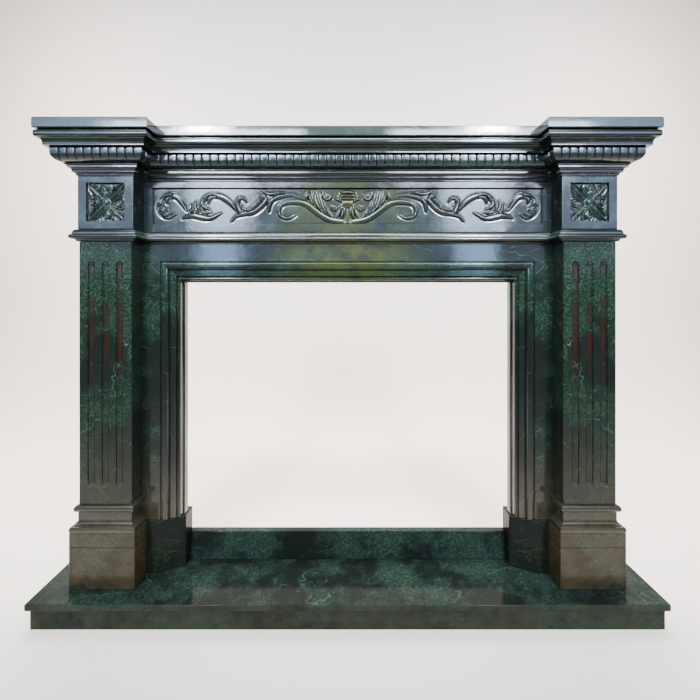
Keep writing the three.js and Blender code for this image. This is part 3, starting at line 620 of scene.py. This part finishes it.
def reedRun(start, end, full, height, shrinkStart, shrinkEnd):
    # places along one face and the cut at each; the two ends keep to the corners as they move
    tongues = max(1, round(abs(full[1] - full[0]) / reeds["pitch"]))
    step = (full[1] - full[0]) / tongues
    share = min(1.0, height / reeds["fadeHeight"])
    run = []
    for k in range(tongues * reeds["pointsEach"] + 1):
        tongue = k / reeds["pointsEach"]
        place = full[0] + step * tongue
        nearest = round(tongue)
        away = abs(tongue - nearest) * abs(step)
        cut = 0.0
        if 0 < nearest < tongues:
            strength = (1 + share) / 2 if nearest % 2 else share * share
            cut = reeds["depth"] * strength * math.exp(-((away / reeds["groove"]) ** 2))
        if tongue <= 1 and shrinkStart:
            place = start + (full[0] + step - start) * tongue
        if tongue >= tongues - 1 and shrinkEnd:
            place = full[1] - step + (end - full[1] + step) * (tongue - tongues + 1)
        endTongue = tongue < 0.5 or tongue > tongues - 0.5
        crown = 0.0 if endTongue else reeds["crown"] * (2 * abs(tongue - math.floor(tongue) - 0.5)) ** 2
        run.append((place, cut + crown * share))
    return run


def reededPilaster(side):
    full = reeds["projection"]
    faceFull = shaftFront + full

    def plan(out, height):
        reach, face = blockHalf + out, shaftFront + out
        outer = reedRun(0, face, (0, faceFull), height, False, True)
        front = reedRun(reach, -reach, (blockHalf + full, -blockHalf - full), height, True, True)
        inner = reedRun(face, panelFront + out, (faceFull, panelFront + full), height, True, True)
        points = [(reach - cut, depth) for depth, cut in outer[:-1]]
        points += [(across, face - cut) for across, cut in front[:-1]]
        points += [(-(reach - cut), depth) for depth, cut in inner]
        points += [(-blockHalf, panelFront), (-blockHalf, 0)]
        return [(side * (pilasterCentre + across), depth) for across, depth in points]
    return plan


def reededCentre(out, height):
    end, full = blockLow - joint, blockLow - reeds["projection"]
    front = reedRun(-(end - out), end - out, (-full, full), height, True, True)
    points = [(across, panelFront + out - cut) for across, cut in front]
    return [*points, (end, panelFront), (end, panelBack), (-end, panelBack), (-end, panelFront)]


def reededStone(node, planAt):
    low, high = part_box(node)
    profile = traceMoulding(mouldings["reed"], high.z - low.z)
    stone = stackPlans(node + "_stone", profile, low.z, planAt)
    finishStone(stone, node)


for label, side in sides.items():
    reededStone("reeded_moulding_" + label, reededPilaster(side))
reededStone("reeded_moulding_centre", reededCentre)
print("mantel: reeds cut")

# A stone whose front is carved: a grid of points over the face, each set back by the relief
edgeEase = 1.6 * mm
sharpAngles = {"fluted": 40, "carved": 62}  # in degrees; a carved stroke's wall stays soft


def boxBlur(field, reach):
    for axis in (0, 1):
        field = sum(np.roll(field, step, axis) for step in range(-reach, reach + 1)) / (2 * reach + 1)
    return field


def carvedStone(node, acrossLines, upLines, reliefAt, hollowShadeAt):
    low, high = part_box(node)
    xs, zs = np.array(sorted(acrossLines)), np.array(sorted(upLines))
    front = shaftFront if "shaft" in node or "rosette" in node else panelFront
    gridX, gridZ = np.meshgrid(xs, zs)
    setBack, unpolished = reliefAt(gridX, gridZ)
    rim = np.zeros_like(setBack)
    rim[0, :] = rim[-1, :] = edgeEase
    rim[:, 0] = rim[:, -1] = edgeEase
    setBack = np.maximum(setBack, rim)
    columns, rows = len(xs), len(zs)
    vertices = np.stack([gridX, wallY - front + setBack, gridZ], -1).reshape(-1, 3).tolist()
    faces = [(r * columns + c, r * columns + c + 1, (r + 1) * columns + c + 1, (r + 1) * columns + c)
             for r in range(rows - 1) for c in range(columns - 1)]
    edge = [*range(columns), *(r * columns + columns - 1 for r in range(1, rows)),
            *((rows - 1) * columns + c for c in reversed(range(columns - 1))),
            *(r * columns for r in reversed(range(1, rows - 1)))]
    back = len(vertices)
    vertices += [(vertices[i][0], high.y, vertices[i][2]) for i in edge]
    for k in range(len(edge)):
        following = (k + 1) % len(edge)
        faces.append((edge[following], edge[k], back + k, back + following))
    faces.append(tuple(back + k for k in range(len(edge))))
    stone = newObject(node + "_stone", vertices, outwardFaces(vertices, faces))
    # hollow sets where painted shade darkens the colour; unpolished sets a rougher finish
    for label, shares in (("hollow", hollowShadeAt(setBack)), ("unpolished", unpolished)):
        values = np.zeros(len(vertices))
        values[:setBack.size] = np.clip(shares, 0, 1).ravel()
        stone.data.attributes.new(label, "FLOAT", "POINT").data.foreach_set("value", values)
    finishStone(stone, node, sharpAngles["fluted" if "shaft" in node else "carved"])


def lines(low, high, step):
    return list(np.linspace(low, high, max(2, round((high - low) / step) + 1)))


# Fluted shafts
flutes = {"count": 3, "width": 22 * mm, "depth": 9 * mm, "pitch": 43 * mm, "topMargin": 60 * mm,
          "footMargin": 52 * mm, "columns": 16, "endRows": 14}


def fluteRelief(centre):
    radius = (flutes["width"] ** 2 / 4 + flutes["depth"] ** 2) / (2 * flutes["depth"])
    half = flutes["width"] / 2
    first = shaftFoot + flutes["footMargin"] + half
    last = shaftHead - flutes["topMargin"] - half

    def relief(x, z):
        cut = np.zeros_like(x)
        for i in range(flutes["count"]):
            axis = centre + (i - (flutes["count"] - 1) / 2) * flutes["pitch"]
            beyond = np.maximum(0, np.maximum(first - z, z - last))
            away = np.hypot(x - axis, beyond)
            sunk = np.sqrt(np.maximum(0, radius ** 2 - away ** 2)) - (radius - flutes["depth"])
            cut = np.maximum(cut, sunk)
        return cut, np.where(z < first, cut / flutes["depth"] * 3, 0)  # the foot can't be polished
    return relief


for label, side in sides.items():
    centre = side * pilasterCentre
    across = [centre - shaftHalf, centre - shaftHalf + edgeEase,
              centre + shaftHalf - edgeEase, centre + shaftHalf]
    for i in range(flutes["count"]):
        axis = centre + (i - (flutes["count"] - 1) / 2) * flutes["pitch"]
        half = flutes["width"] / 2
        across += [axis - half * math.cos(math.pi * k / flutes["columns"])
                   for k in range(flutes["columns"] + 1)]
        across += [axis - half - 0.6 * mm, axis + half + 0.6 * mm]
    up = [shaftFoot, shaftFoot + edgeEase, shaftHead - edgeEase, shaftHead]
    endRun = flutes["width"] / 2
    for start, grows in ((shaftFoot + flutes["footMargin"], 1), (shaftHead - flutes["topMargin"], -1)):
        up += [start + grows * endRun * k / flutes["endRows"] for k in range(-1, flutes["endRows"] + 1)]
    up += lines(shaftFoot + flutes["footMargin"] + endRun + 0.02,
                shaftHead - flutes["topMargin"] - endRun - 0.02, 0.08)
    # the depth of a flute sets its painted shade
    carvedStone("fluted_shaft_" + label, across, up, fluteRelief(centre),
                lambda cut: cut / flutes["depth"] * 1.5)
print("mantel: shafts fluted")


# Carving. A stroke follows a smooth line over the ground; it is widest at its belly and is laid
# over what was carved before it, with a sunk line round it.
def smoothLine(points, spacing):  # through all the points, evenly spaced
    points = np.array(points, float)
    padded = np.vstack([2 * points[0] - points[1], points, 2 * points[-1] - points[-2]])
    fine = []
    for i in range(1, len(padded) - 2):
        p0, p1, p2, p3 = padded[i - 1:i + 3]
        for t in np.linspace(0, 1, 24, endpoint=False):
            fine.append(0.5 * (2 * p1 + (p2 - p0) * t + (2 * p0 - 5 * p1 + 4 * p2 - p3) * t ** 2
                               + (3 * p1 - p0 - 3 * p2 + p3) * t ** 3))
    fine.append(points[-1])
    fine = np.array(fine)
    run = np.concatenate([[0], np.cumsum(np.hypot(*np.diff(fine, axis=0).T))])
    even = np.linspace(0, run[-1], max(12, int(run[-1] / spacing)))
    return np.stack([np.interp(even, run, fine[:, k]) for k in (0, 1)], -1)


stroke = {"spacing": 1.2, "fullness": 1.08, "endRise": 0.6, "ridge": 0.6, "ribDepth": 0.20,
          "grooveDepth": 0.8, "grooveClears": 0.75, "grooveSpread": 1.4, "margin": 4}


def carveStroke(field, x, z, points, start, full, end, rise, belly=0.5, ribs=0, edge=0.28,
                groove=1.2):
    line = smoothLine(points, stroke["spacing"])
    share = np.linspace(0, 1, len(line))
    swell = np.sin(np.pi * share ** (math.log(0.5) / math.log(belly)))
    width = stroke["fullness"] * (start + (end - start) * share + (full - (start + end) / 2) * swell)
    lift = rise * (stroke["endRise"] + (1 - stroke["endRise"]) * swell)
    margin = full / 2 + stroke["margin"]
    near = ((x > line[:, 0].min() - margin) & (x < line[:, 0].max() + margin)
            & (z > line[:, 1].min() - margin) & (z < line[:, 1].max() + margin))
    if not near.any():
        return
    px, pz = x[near], z[near]
    away = np.hypot(px[:, None] - line[:, 0], pz[:, None] - line[:, 1])
    best = (away - width / 2).argmin(1)
    half = width[best] / 2
    distance = away[np.arange(len(px)), best]
    across = np.clip(distance / half, 0, 1)
    crest = stroke["ridge"] * (1 - across) + (1 - stroke["ridge"]) * np.sqrt(1 - across ** 2)
    body = lift[best] * (edge + (1 - edge) * crest)
    if ribs:
        along = line[np.minimum(best + 1, len(line) - 1)] - line[np.maximum(best - 1, 0)]
        signed = ((px - line[best, 0]) * -along[:, 1] + (pz - line[best, 1]) * along[:, 0])
        signed /= np.hypot(*along.T) * half
        body *= 1 - stroke["ribDepth"] * (1 - np.abs(np.cos(np.pi * ribs * signed / 2)))
    sunkLine = np.exp(-(((distance - half - groove) / (stroke["grooveSpread"] * groove)) ** 2))
    old = field[near] * (1 - stroke["grooveClears"] * sunkLine) - stroke["grooveDepth"] * sunkLine
    wall = np.clip((half - distance) / (2 * groove) + 0.5, 0, 1)
    wall = wall * wall * (3 - 2 * wall)
    field[near] = old * (1 - wall) + body * wall


def carveRoundel(field, x, z, place, radius, rise, rings):
    away = np.hypot(x - place[0], z - place[1])
    shape = np.interp(away / radius, *zip(*rings)) * rise
    inside = away < radius * rings[-1][0]
    field[inside] = shape[inside]


# The frieze's left half, in millimetres from the middle of the panel
friezeForms = {
    "stem": {"start": 4, "full": 19, "end": 7, "rise": 8.6, "belly": 0.36},
    "leaf": {"start": 4, "full": 18, "end": 6, "rise": 8.6},
    "lobe": {"start": 4, "full": 11, "end": 3, "rise": 7.4},
}
friezeStrokes = [
    # the outermost scroll and the lobes inside it
    ("stem", {}, [(-516, -16), (-527, 2), (-542, 22), (-556, 32), (-573, 34), (-590, 27), (-602, 13),
                  (-608, -4), (-602, -22), (-589, -34), (-571, -36), (-556, -26)]),
    ("lobe", {}, [(-567, 31), (-583, 21), (-580, 7)]),
    ("lobe", {}, [(-593, 27), (-600, 13), (-587, -2)]),
    ("lobe", {}, [(-608, -1), (-598, -12), (-579, -12)]),
    ("lobe", {}, [(-604, -21), (-591, -28), (-567, -23)]),
    # the second scroll and its lobes
    ("stem", {}, [(-356, -15), (-374, 7), (-396, 25), (-420, 34), (-440, 35), (-458, 27), (-470, 11),
                  (-473, -6), (-466, -22), (-450, -34)]),
    ("lobe", {"full": 12}, [(-424, 31), (-444, 25), (-449, 7)]),
    ("lobe", {"full": 12}, [(-466, 22), (-466, 2), (-444, -11)]),
    ("lobe", {}, [(-471, -4), (-462, -19), (-440, -21)]),
    # the leaf that runs under the two scrolls, with its two leaflets
    ("lobe", {}, [(-503, 9), (-506, -8), (-494, -25)]),
    ("lobe", {}, [(-488, 17), (-490, -2), (-480, -25)]),
    ("leaf", {"belly": 0.4}, [(-532, -40), (-518, -33), (-497, -30), (-475, -35), (-454, -39),
                              (-439, -38), (-423, -30), (-408, -23)]),
    # the feathered end, the volute and the great stem
    ("lobe", {"full": 9}, [(-323, -14), (-309, -8), (-297, 2), (-291, 13)]),
    ("lobe", {"full": 9}, [(-311, -13), (-297, -2), (-285, 12), (-281, 26), (-285, 38)]),
    ("lobe", {"full": 9}, [(-299, -12), (-285, 2), (-277, 16), (-273, 30), (-279, 43)]),
    ("leaf", {}, [(-373, -49), (-363, -36), (-347, -28), (-326, -22), (-305, -18), (-285, -6),
                  (-270, 9), (-262, 21), (-269, 36), (-276, 47)]),
    ("lobe", {"full": 7}, [(-341, 5), (-339, -5), (-329, -12), (-316, -12), (-300, -6)]),
    ("lobe", {"start": 14, "full": 14, "end": 4, "rise": 8.6},
     [(-349, -16), (-354, 0), (-355, 14), (-349, 24), (-338, 26), (-329, 21), (-324, 13)]),
    # the leaf that springs over the hook and the sliver above it
    ("lobe", {}, [(-271, 46), (-251, 40), (-227, 41), (-202, 43)]),
    ("leaf", {"full": 15, "end": 4, "belly": 0.3},
     [(-253, -18), (-253, -4), (-249, 11), (-238, 23), (-221, 30), (-193, 35), (-165, 33), (-139, 21)]),
    # fronds of the central palm
    ("lobe", {"full": 9}, [(-127, 48), (-131, 31), (-132, 16)]),
    ("lobe", {"full": 10}, [(-121, 47), (-120, 28), (-112, 10), (-100, -5)]),
    ("lobe", {"full": 14}, [(-104, 48), (-104, 28), (-98, 7), (-85, -15)]),
    ("lobe", {"full": 10}, [(-85, 45), (-86, 26), (-80, 3), (-71, -17), (-59, -36)]),
    ("lobe", {"full": 7}, [(-68, -3), (-61, -20), (-50, -39)]),
    ("lobe", {"full": 8}, [(-24, 0), (-25, -17), (-35, -41)]),
    ("lobe", {"full": 8}, [(-16, -3), (-16, -21), (-25, -50)]),
    # the hook, from its curl round to the middle of the panel
    ("stem", {"start": 5, "full": 17, "end": 14, "belly": 0.5},
     [(-168, -29), (-180, -36), (-197, -39), (-214, -32), (-221, -18), (-217, -2), (-202, 10),
      (-180, 14), (-157, 14), (-131, 6), (-110, -10), (-86, -28), (-60, -42), (-28, -49), (4, -50)]),
    ("lobe", {"full": 8}, [(-42, 24), (-30, 22), (-20, 16), (-11, 9)]),
]
friezeMiddle = [  # laid on the middle line: the tongue, the cup and the ribs of the knob
    ("leaf", {"start": 17, "end": 30, "belly": 0.4}, [(0, 2), (0, -24), (0, -51)]),
    ("leaf", {"start": 18, "full": 32, "end": 35, "ribs": 7}, [(0, 6), (0, 13), (0, 20)]),
    ("leaf", {"start": 5, "full": 9, "end": 5}, [(-17, 25), (0, 26), (17, 25)]),
    ("leaf", {"start": 5, "full": 9, "end": 5}, [(-25, 34), (0, 35), (25, 34)]),
    ("leaf", {"start": 5, "full": 9, "end": 5}, [(-22, 44), (0, 45), (22, 44)]),
]
friezePanel = {"endMargin": 26 * mm, "topMargin": 19.5 * mm, "footMargin": 27.5 * mm,
               "depth": 10 * mm, "step": 1.32 * mm, "wall": 0.5 * mm}
roundels = [((-65, 33), 15), ((-43, -2), 13)]  # place and radius
roundelRise = 9.2
roundelRings = [(0, 0.88), (0.35, 0.84), (0.55, 0.62), (0.62, 0.50), (0.72, 0.80), (0.85, 0.82),
                (1.0, 0.45)]


carvedDullness = 0.08  # the raised parts take a little less polish


def panelRelief(x, z, edges, depth, wall, heightAt):
    left, right, foot, top = edges
    inside = np.minimum(np.minimum(x - left, right - x), np.minimum(z - foot, top - z))
    ground = depth * np.clip(inside / wall, 0, 1)
    height = np.where(ground > 0.99 * depth, heightAt(x, z), 0)
    return ground - height, carvedDullness * np.clip(height / (0.4 * depth), 0, 1)


def carvingLines(low, start, end, high, wall, step):  # fine in the panel, wide on its margins
    flat = 0.8 * mm
    return [low, low + edgeEase, low + edgeEase + flat, start - flat, start,
            *lines(start + wall, end - wall, step), end, end + flat,
            high - edgeEase - flat, high - edgeEase, high]


# this depth sets the painted shade in the carved hollows
def crevices(setBack):  # how far a point lies below what is round it
    return (setBack - boxBlur(setBack, 3)) / (1.6 * mm)


def friezeCarving(middleX, middleZ):
    def height(x, z):
        x, z = -np.abs((x - middleX) / mm), (z - middleZ) / mm
        field = np.zeros_like(x)
        for form, changes, points in friezeStrokes:
            carveStroke(field, x, z, points, **{**friezeForms[form], **changes})
        for place, radius in roundels:
            carveRoundel(field, x, z, place, radius, roundelRise, roundelRings)
        for form, changes, points in friezeMiddle:
            carveStroke(field, x, z, points, **{**friezeForms[form], **changes})
        return field * mm
    return height


def carveFrieze():
    low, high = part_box("frieze_panel")
    left, right = low.x + friezePanel["endMargin"] - joint, high.x - friezePanel["endMargin"] + joint
    foot, top = low.z + friezePanel["footMargin"], high.z + joint - friezePanel["topMargin"]
    wall, step = friezePanel["wall"], friezePanel["step"]
    heightAt = friezeCarving((left + right) / 2, (foot + top) / 2)

    def relief(x, z):
        return panelRelief(x, z, (left, right, foot, top), friezePanel["depth"], wall, heightAt)

    across = carvingLines(low.x, left, right, high.x, wall, step)
    up = carvingLines(low.z, foot, top, high.z, wall, step)
    carvedStone("frieze_panel", across, up, relief, crevices)


carveFrieze()
print("mantel: frieze carved")

# Rosettes: each quarter has a ribbed corner leaf and a lyre of leaves round an eye
rosette = {"margin": 26 * mm, "lift": 2 * mm, "depth": 9 * mm, "step": 0.52 * mm, "wall": 0.5 * mm,
           "eyeDistance": 43, "eyeRadius": 8, "eyeRise": 7.4, "bossRadius": 9, "bossRise": 9.0,
           "midribDepth": 0.55, "midribWidth": 1.1, "midribReach": 74, "midribFade": 20}
eyeRings = [(0, 0.25), (0.28, 0.35), (0.45, 0.85), (0.70, 0.95), (0.9, 0.75), (1.0, 0.35)]
bossRings = [(0, 0.98), (0.3, 0.95), (0.6, 0.83), (0.85, 0.6), (1.0, 0.3), (1.1, 0.1), (1.5, 0.1)]
quarterStrokes = [  # in one eighth, turned from the quarter's own axis (mm): start, full, end, rise
    ([(4, 3), (24, 16), (44, 28), (55, 42)], 3, 6.5, 2.5, 6.0),
    ([(6, 5), (26, 21), (40, 32), (54, 49)], 3.5, 6.5, 2.5, 6.8),
    ([(5, 2), (22, 9), (32, 15.5), (40, 18), (48, 20), (55, 16)], 3, 5, 3, 6.4),
    ([(5, 1), (22, 3.5), (31, 8), (37, 11.5), (45, 11.5), (52, 7)], 3, 5, 2.5, 7.0),
    ([(6, 5.4), (28, 27), (46, 45), (57, 57)], 4, 7, 2.5, 8.0),
]


def rosetteHeight(middleX, middleZ):
    def height(x, z):
        x, z = (x - middleX) / mm, (z - middleZ) / mm
        across, along = np.minimum(np.abs(x), np.abs(z)), np.maximum(np.abs(x), np.abs(z))
        field = np.zeros_like(x)
        for points, start, full, end, rise in quarterStrokes:
            carveStroke(field, along, across, points, start, full, end, rise, edge=0.2, groove=0.6)
        diagonal = np.abs(along - across) / math.sqrt(2)
        reach = np.hypot(x, z)
        midrib = rosette["midribDepth"] * np.exp(-((diagonal / rosette["midribWidth"]) ** 2))
        field *= 1 - midrib * np.clip((rosette["midribReach"] - reach) / rosette["midribFade"], 0, 1)
        for towardsX, towardsZ in ((1, 0), (0, 1), (-1, 0), (0, -1)):
            eye = (towardsX * rosette["eyeDistance"], towardsZ * rosette["eyeDistance"])
            carveRoundel(field, x, z, eye, rosette["eyeRadius"], rosette["eyeRise"], eyeRings)
        carveRoundel(field, x, z, (0, 0), rosette["bossRadius"], rosette["bossRise"], bossRings)
        return field * mm
    return height


def carveRosette(label):
    node = "rosette_block_" + label
    low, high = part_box(node)
    half = (high.x - low.x) / 2 - rosette["margin"]
    middleX, middleZ = (low.x + high.x) / 2, (low.z + high.z + joint) / 2 + rosette["lift"]
    left, right, foot, top = middleX - half, middleX + half, middleZ - half, middleZ + half
    wall, step = rosette["wall"], rosette["step"]
    heightAt = rosetteHeight(middleX, middleZ)

    def relief(x, z):
        return panelRelief(x, z, (left, right, foot, top), rosette["depth"], wall, heightAt)

    across = carvingLines(low.x, left, right, high.x, wall, step)
    up = carvingLines(low.z, foot, top, high.z, wall, step)
    carvedStone(node, across, up, relief, crevices)


for label in sides:
    carveRosette(label)
print("mantel: rosettes carved")

print("mantel: done")
